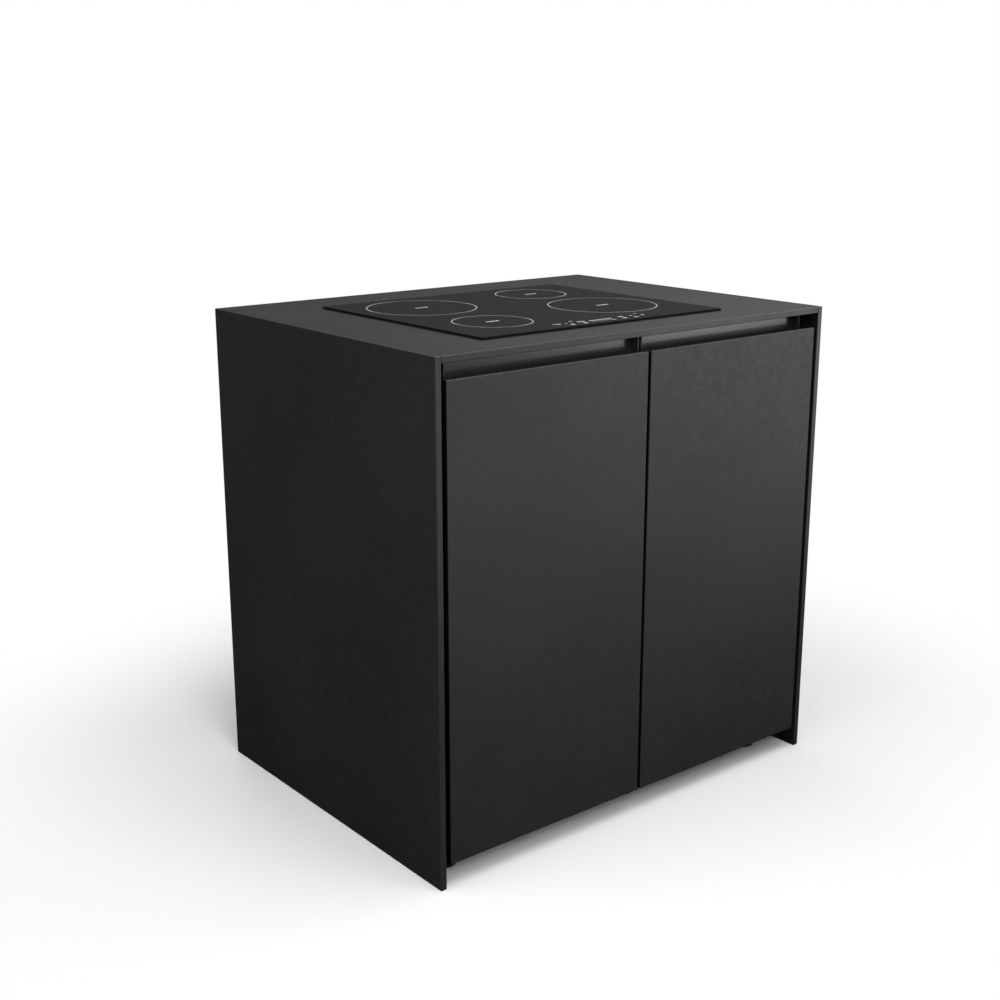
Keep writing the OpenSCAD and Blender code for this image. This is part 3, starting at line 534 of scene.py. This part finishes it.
def enamel_ring(work, x, y, radius, line, steps, share):
    dash = enamel_bar(work, x, y - radius, 2 * math.pi * radius / steps * share, line)
    faces = {face for vert in dash for face in vert.link_faces}
    edges = {edge for vert in dash for edge in vert.link_edges}
    bmesh.ops.spin(work, geom=list(dash) + list(edges) + list(faces), cent=(x, y, glass_top),
                   axis=(0, 0, 1), angle=2 * math.pi * (steps - 1) / steps, steps=steps - 1,
                   use_duplicate=True)


def zone_rings(work):
    for name, (x, y, across) in zones.items():
        steps = round(math.pi * across / dash_pitch)
        enamel_ring(work, glass_middle.x + x, glass_middle.y + y, across / 2,
                    ring_line, steps, dash_share)
        print("  ring", name, steps, "dashes")


def enamel(name, colour):
    material, tree, shader = new_finish(name, colour, 0.5)
    vary(tree, noise(tree, place_on_object(tree), 1500.0, 2.0), shader.inputs["Base Color"],
         tint(colour, 0.85), colour)
    return material


white_enamel = enamel("white_enamel", (0.80, 0.80, 0.79))
zone_print = new_piece("hob_zone_rings", zone_rings, "cabinet", white_enamel)

# %% [markdown]
# ## The middle marks and the touch controls
#
# Each zone has a short bar of three parts in its middle. Along the front edge sits the control
# panel: a slider line with ticks and plain numbers, and small key symbols to its left and right.
# The symbols are generic: a ring with a stroke for on and off, a plus and a minus, a lock, a clock.
#
# The keys stand in a table, with their places counted from the middle of the glass.

# %% Middle bars
mark_length, mark_width, mark_pitch = 0.0086, 0.0052, 0.0098


def middle_bars(work):
    for x, y, across in zones.values():
        for part in (-1, 0, 1):
            enamel_bar(work, glass_middle.x + x + part * mark_pitch, glass_middle.y + y,
                       mark_length, mark_width)


middle_print = new_piece("hob_zone_marks", middle_bars, "cabinet", white_enamel)

# %% Key symbols
stroke = 0.0019
key_width = 0.0080


def key_ring(work, x, y):
    enamel_ring(work, x, y, key_width / 2, stroke, 14, 1.15)


def key_power(work, x, y):
    key_ring(work, x, y)
    enamel_bar(work, x, y + 0.0030, stroke, 0.0042)


def key_plus(work, x, y):
    enamel_bar(work, x, y, key_width, stroke)
    enamel_bar(work, x, y + 0.0025, stroke, 0.0034)
    enamel_bar(work, x, y - 0.0025, stroke, 0.0034)


def key_minus(work, x, y):
    enamel_bar(work, x, y, key_width, stroke)


def key_lock(work, x, y):
    enamel_bar(work, x, y - 0.0016, 0.0076, 0.0050)
    enamel_bar(work, x - 0.0018, y + 0.0018, stroke, 0.0026)
    enamel_bar(work, x + 0.0018, y + 0.0018, stroke, 0.0026)
    enamel_bar(work, x, y + 0.0036, 0.0047, stroke)


def key_clock(work, x, y):
    hand = stroke * 0.8
    key_ring(work, x, y)
    enamel_bar(work, x, y + 0.0010, hand, 0.0024)
    enamel_bar(work, x + 0.0011, y, 0.0018, hand)


print("key symbols ready")

# %% Touch controls
keys = [
    (key_minus, -0.098, -0.206), (key_power, -0.090, -0.209), (key_minus, -0.073, -0.210),
    (key_plus, -0.051, -0.196), (key_lock, -0.070, -0.224), (key_clock, -0.041, -0.209),
    (key_plus, -0.033, -0.209), (key_lock, -0.040, -0.224), (key_minus, 0.028, -0.225),
    (key_clock, 0.059, -0.207), (key_lock, 0.056, -0.222), (key_minus, 0.084, -0.208),
    (key_minus, 0.108, -0.194), (key_power, 0.082, -0.225), (key_plus, 0.108, -0.213),
]
slider_x, slider_y = glass_middle.x + 0.006, glass_middle.y - 0.211
slider_length, slider_width = 0.054, 0.0034
tick_first, tick_pitch, tick_drop = -0.023, 0.0051, 0.0055
tick_length, tick_width = 0.0028, 0.0007
numbers = "0 1 2 3 4 5 6 7 8 9"
numbers_drop, numbers_size = 0.0118, 0.0070


def touch_controls(work):
    for key, x, y in keys:
        key(work, glass_middle.x + x, glass_middle.y + y)
    enamel_bar(work, slider_x, slider_y, slider_length, slider_width)
    for step in range(len(numbers.split())):
        enamel_bar(work, slider_x + tick_first + step * tick_pitch, slider_y - tick_drop,
                   tick_width, tick_length)


control_print = new_piece("hob_touch_controls", touch_controls, "cabinet", white_enamel)

# %% [markdown]
# ## Numbers under the slider
#
# The heat levels are plain numbers. A text object is turned into a mesh, laid on the glass and
# given the same thickness as the rest of the print.

# %% Slider numbers
def laid_text(name, words, x, y, size):
    curve = bpy.data.curves.new(name, "FONT")
    curve.body = words
    curve.size = size
    curve.align_x = "CENTER"
    curve.align_y = "CENTER"
    curve.resolution_u = 2
    curve.extrude = enamel_thick / 2
    text = in_scene(name, curve)
    bpy.context.view_layer.update()
    shown = text.evaluated_get(bpy.context.evaluated_depsgraph_get())
    mesh = bpy.data.meshes.new_from_object(shown)
    bpy.data.objects.remove(text)
    mesh.transform(Matrix.Translation((x, y, glass_top + enamel_thick / 2)))
    mesh.name = name
    mesh.materials.clear()
    mesh.materials.append(white_enamel)
    piece = in_scene(name, mesh)
    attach(piece, "cabinet")
    print(name, len(mesh.polygons), "faces")


laid_text("hob_slider_numbers", numbers, slider_x, slider_y - numbers_drop, numbers_size)

# %% [markdown]
# ## The floor
#
# The unit stands on a pale floor that has no visible end. Near the unit the floor is a white
# surface that takes its soft shadow. Further out it fades into a surface that shows pure white to
# the eye and to mirrors, so that no horizon appears. The fade is a little wider along X.
#
# A white floor would also throw a lot of light back up at the doors. In a studio that is kept down
# with dark cloth outside the picture. Here the floor is simply darker for light that bounces.

# %% Helper for rays
def seen_directly(tree):
    path = tree.nodes.new("ShaderNodeLightPath")
    first = tree.nodes.new("ShaderNodeMath")
    first.operation = "MAXIMUM"
    tree.links.new(path.outputs["Is Camera Ray"], first.inputs[0])
    tree.links.new(path.outputs["Is Glossy Ray"], first.inputs[1])
    second = tree.nodes.new("ShaderNodeMath")
    second.operation = "MAXIMUM"
    tree.links.new(first.outputs[0], second.inputs[0])
    tree.links.new(path.outputs["Is Transmission Ray"], second.inputs[1])
    return second.outputs[0]


def empty_material(name):
    material = bpy.data.materials.new(name)
    material.use_nodes = True
    material.node_tree.nodes.clear()
    return material, material.node_tree


def show_surface(tree, shader):
    out = tree.nodes.new("ShaderNodeOutputMaterial")
    tree.links.new(shader, out.inputs["Surface"])


def mixed(tree, share, a, b):
    node = tree.nodes.new("ShaderNodeMixShader")
    tree.links.new(share, node.inputs["Fac"])
    tree.links.new(a, node.inputs[1])
    tree.links.new(b, node.inputs[2])
    return node.outputs[0]


print("ray helpers ready")

# %% Floor
floor_half = 40.0
floor_paint = 0.92
floor_bounce = 0.30
fade_start, fade_end = 0.55, 1.3
fade_shape = (0.87, 1.0, 1.0)


def floor_material():
    material, tree = empty_material("studio_floor")
    paint = tree.nodes.new("ShaderNodeBsdfDiffuse")
    paint.inputs["Color"].default_value = (floor_paint, floor_paint, floor_paint, 1.0)
    bounce = tree.nodes.new("ShaderNodeBsdfDiffuse")
    bounce.inputs["Color"].default_value = (floor_bounce, floor_bounce, floor_bounce, 1.0)
    white = tree.nodes.new("ShaderNodeEmission")
    length = tree.nodes.new("ShaderNodeVectorMath")
    length.operation = "LENGTH"
    tree.links.new(place_on_object(tree, scale=fade_shape), length.inputs[0])
    fade = tree.nodes.new("ShaderNodeMapRange")
    fade.interpolation_type = "SMOOTHSTEP"
    fade.inputs["From Min"].default_value = fade_start
    fade.inputs["From Max"].default_value = fade_end
    tree.links.new(length.outputs["Value"], fade.inputs["Value"])
    shown = mixed(tree, fade.outputs["Result"], paint.outputs[0], white.outputs[0])
    show_surface(tree, mixed(tree, seen_directly(tree), bounce.outputs[0], shown))
    return material


floor_work = bmesh.new()
bmesh.ops.create_grid(floor_work, x_segments=1, y_segments=1, size=floor_half)
floor = in_scene("studio_floor", mesh_from("studio_floor", floor_work, floor_material()))
print("floor ready")

# %% Background
room_level = 0.29
backdrop_level = 1.0


def white_light(tree, level):
    light = tree.nodes.new("ShaderNodeBackground")
    light.inputs["Color"].default_value = (1.0, 1.0, 1.0, 1.0)
    light.inputs["Strength"].default_value = level
    return light.outputs[0]


world = bpy.data.worlds.new("studio")
bpy.context.scene.world = world
world.use_nodes = True
sky = world.node_tree
sky.nodes.clear()
room, backdrop = white_light(sky, room_level), white_light(sky, backdrop_level)
sky_out = sky.nodes.new("ShaderNodeOutputWorld")
sky.links.new(mixed(sky, seen_directly(sky), room, backdrop), sky_out.inputs["Surface"])
print("background ready")

# %% [markdown]
# ## What the surfaces mirror
#
# Black glass is a mirror, and matt boards mirror their surroundings too, only blurred. The doors
# tip the view down to the floor in front, so their upper half mirrors the floor far away and their
# foot the floor close by. The worktop mirrors the wall at the back right. In the photograph the
# room is bright to the right and in front, and dark to the left, behind and above.
#
# So the unit stands in a dark tent that only reflections see: rings of cloth on the floor, bands of
# wall and a roof. Each has twelve grey levels, one for every 30 degrees, clockwise from the wall
# side. The gradient that places them runs the other way round from -X, so a list's first entry
# lies at three quarters of it. The tent throws no light or shadow, and the camera looks through it.

# %% Tent for reflections
tent_radius = 5.0


def tent_grey(name, levels):
    material, tree = empty_material(name)
    angle = tree.nodes.new("ShaderNodeTexGradient")
    angle.gradient_type = "RADIAL"
    tree.links.new(place_on_object(tree), angle.inputs["Vector"])
    around = [(((9 - k) / 12) % 1.0, level) for k, level in enumerate(levels)]
    grey = shades(tree, angle.outputs["Fac"], sorted(around) + [(1.0, levels[9])])
    glow = tree.nodes.new("ShaderNodeEmission")
    tree.links.new(grey, glow.inputs["Color"])
    show_surface(tree, glow.outputs[0])
    return material


def only_mirrored(sheet):
    sheet.visible_camera = False
    sheet.visible_diffuse = False
    sheet.visible_transmission = False
    sheet.visible_shadow = False


def tent_cloth(name, inner, outer, low, high, levels):
    work = bmesh.new()
    bmesh.ops.create_circle(work, segments=96, radius=inner)
    grown = bmesh.ops.extrude_edge_only(work, edges=work.edges)["geom"]
    rim = [g for g in grown if isinstance(g, bmesh.types.BMVert)]
    bmesh.ops.scale(work, vec=(outer / inner, outer / inner, 1.0), verts=rim)
    bmesh.ops.translate(work, vec=(0, 0, high - low), verts=rim)
    bmesh.ops.translate(work, vec=(0, 0, low), verts=work.verts)
    cloth = in_scene(name, mesh_from(name, work, tent_grey(name, levels)))
    only_mirrored(cloth)
    print(name, "levels", levels)


# %% Rings on the floor
tent_middle = 0.01
ring_height = 0.0015
ring_edges = [tent_middle, 0.6, 0.9, 1.5, 2.6, tent_radius]
ring_levels = [
    [0.03, 0.04, 0.05, 0.04, 0.02, 0.02, 0.01, 0.03, 0.0, 0.01, 0.0, 0.01],
    [0.04, 0.06, 0.06, 0.05, 0.0, 0.0, 0.0, 0.08, 0.04, 0.07, 0.01, 0.0],
    [0.06, 0.09, 0.10, 0.09, 0.0, 0.0, 0.03, 0.08, 0.04, 0.0, 0.03, 0.01],
    [0.10, 0.13, 0.18, 0.20, 0.06, 0.50, 0.33, 0.18, 0.08, 0.0, 0.0, 0.10],
    [0.10, 0.17, 0.28, 0.35, 0.50, 0.46, 0.28, 0.24, 0.13, 0.0, 0.0, 0.05],
]
for ring, levels in enumerate(ring_levels):
    tent_cloth("tent_ring_%d" % ring, ring_edges[ring], ring_edges[ring + 1],
               ring_height, ring_height, levels)

# %% Bands of wall, and the roof
wall_heights = [0.0, 1.3, 2.3, 4.6]
roof_top = 7.0
wall_levels = [
    [0.05, 0.08, 0.05, 0.35, 0.42, 0.31, 0.0, 0.04, 0.09, 0.0, 0.0, 0.0],
    [0.09, 0.08, 0.07, 0.45, 0.50, 0.01, 0.0, 0.09, 0.07, 0.0, 0.0, 0.0],
    [0.12, 0.08, 0.94, 0.72, 0.57, 0.06, 0.20, 0.19, 0.11, 0.02, 0.0, 0.02],
]
roof_levels = [0.08] * 3 + [1.0] * 6 + [0.23] * 3
for band, levels in enumerate(wall_levels):
    tent_cloth("tent_wall_%d" % band, tent_radius, tent_radius,
               wall_heights[band], wall_heights[band + 1], levels)
tent_cloth("tent_roof", tent_radius, tent_middle, wall_heights[-1], roof_top, roof_levels)

# %% [markdown]
# ## A low window
#
# The grips and the worktop's front edge are brightest in the middle of the unit. They mirror one
# bright thing there: something like a low window, far away at the front right. It is a sheet that
# glows, made from a grid of one face, turned to face the unit.

# %% Window in the tent
def tent_window(name, azimuth_deg, distance, width, low, high, level):
    work = bmesh.new()
    bmesh.ops.create_grid(work, x_segments=1, y_segments=1, size=0.5)
    bmesh.ops.scale(work, vec=(width, high - low, 1.0), verts=work.verts)
    upright = Matrix.Rotation(math.radians(90), 4, "X")
    outward = Matrix.Translation((0, distance, (low + high) / 2))
    around = Matrix.Rotation(math.radians(-azimuth_deg), 4, "Z")
    bmesh.ops.transform(work, matrix=around @ outward @ upright, verts=work.verts)
    material, tree = empty_material(name)
    glow = tree.nodes.new("ShaderNodeEmission")
    glow.inputs["Strength"].default_value = level
    show_surface(tree, glow.outputs[0])
    sheet = in_scene(name, mesh_from(name, work, material))
    only_mirrored(sheet)
    print(name, "at", azimuth_deg, "degrees")


tent_window("tent_window", azimuth_deg=135.0, distance=4.8,
            width=0.7, low=0.05, high=0.85, level=6.3)

# %% [markdown]
# ## The light
#
# Large soft lamps light the floor and the unit evenly. Two hang high, one in front and one to the
# left. Others stand at the right, at the front left and low at the left, for the doors and the
# side, and one lights the back. Two of them aren't mirrored, because the glass would show them as a
# glare. Each lamp has its place, its size and its power in watts, and turns to the unit's middle.

# %% Lamps
aim = Vector((0.0, 0.0, 0.6))


def soft_lamp(name, place, size, power, mirrored=True):
    data = bpy.data.lights.new(name, "AREA")
    data.shape = "SQUARE"
    data.size = size
    data.energy = power
    lamp = in_scene(name, data)
    lamp.location = place
    lamp.rotation_euler = (aim - Vector(place)).to_track_quat("-Z", "Y").to_euler()
    lamp.visible_camera = False
    lamp.visible_glossy = mirrored


soft_lamp("high_front_lamp", (0.0, -1.6, 3.8), 2.0, 53.8)
soft_lamp("high_left_lamp", (-2.0, 0.0, 3.5), 2.0, 32.3)
soft_lamp("right_lamp", (2.8, -0.8, 1.8), 1.5, 21.4)
soft_lamp("front_left_lamp", (-1.2, -2.2, 1.6), 1.0, 29.3, mirrored=False)
soft_lamp("low_left_lamp", (-2.8, -0.3, 0.9), 1.2, 5.7)
soft_lamp("back_lamp", (0.6, 2.8, 1.3), 1.5, 20.0, mirrored=False)
print("lamps ready")

# %% View settings
bpy.context.scene.view_settings.view_transform = "Standard"
